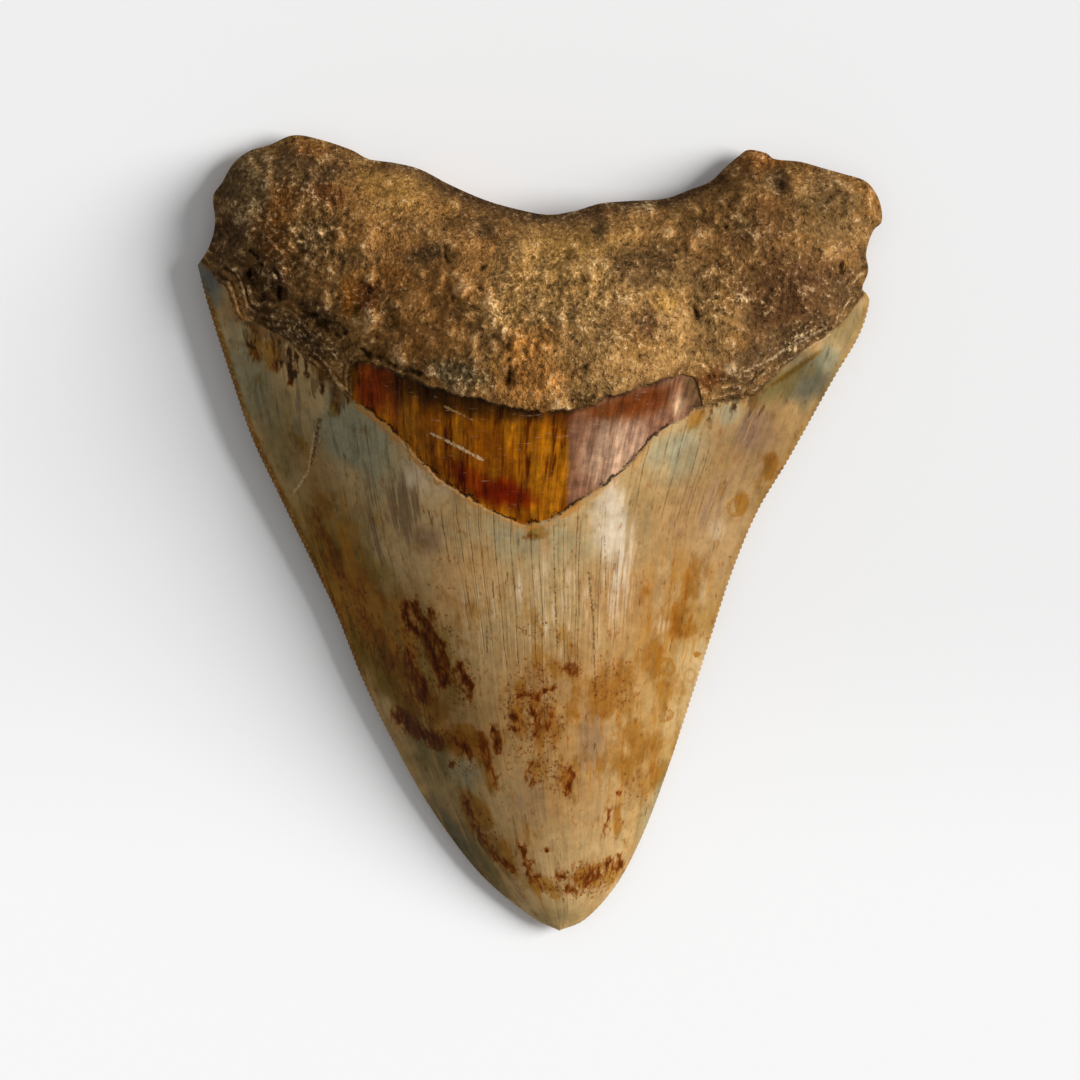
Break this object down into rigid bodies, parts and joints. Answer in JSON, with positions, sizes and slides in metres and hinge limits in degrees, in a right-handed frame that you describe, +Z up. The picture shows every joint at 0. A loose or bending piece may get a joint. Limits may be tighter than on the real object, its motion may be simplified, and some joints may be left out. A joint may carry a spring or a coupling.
{
  "type": "megalodon tooth",
  "caption": "Large triangular fossil shark tooth with a serrated crown and a thick two-lobed root, lying on its flat labial face.",
  "frame": {"origin": "centre of the bounding box's bottom face, on the surface that the tooth lies on, under the crown's middle", "axes": "+X across the tooth, from the left cutting edge to the right one; +Y from the tip to the root; +Z up, out of the convex lingual face"},
  "size_m": [0.1028, 0.1196, 0.0288],
  "materials": {
    "fossil_tooth": "glossy cream and grey enamel with rust-brown stains, a glossy amber bourlette, and a rough brown root"
  },
  "bodies": {
    "root": {"tooth": "fossil_tooth"}
  },
  "joints": []
}
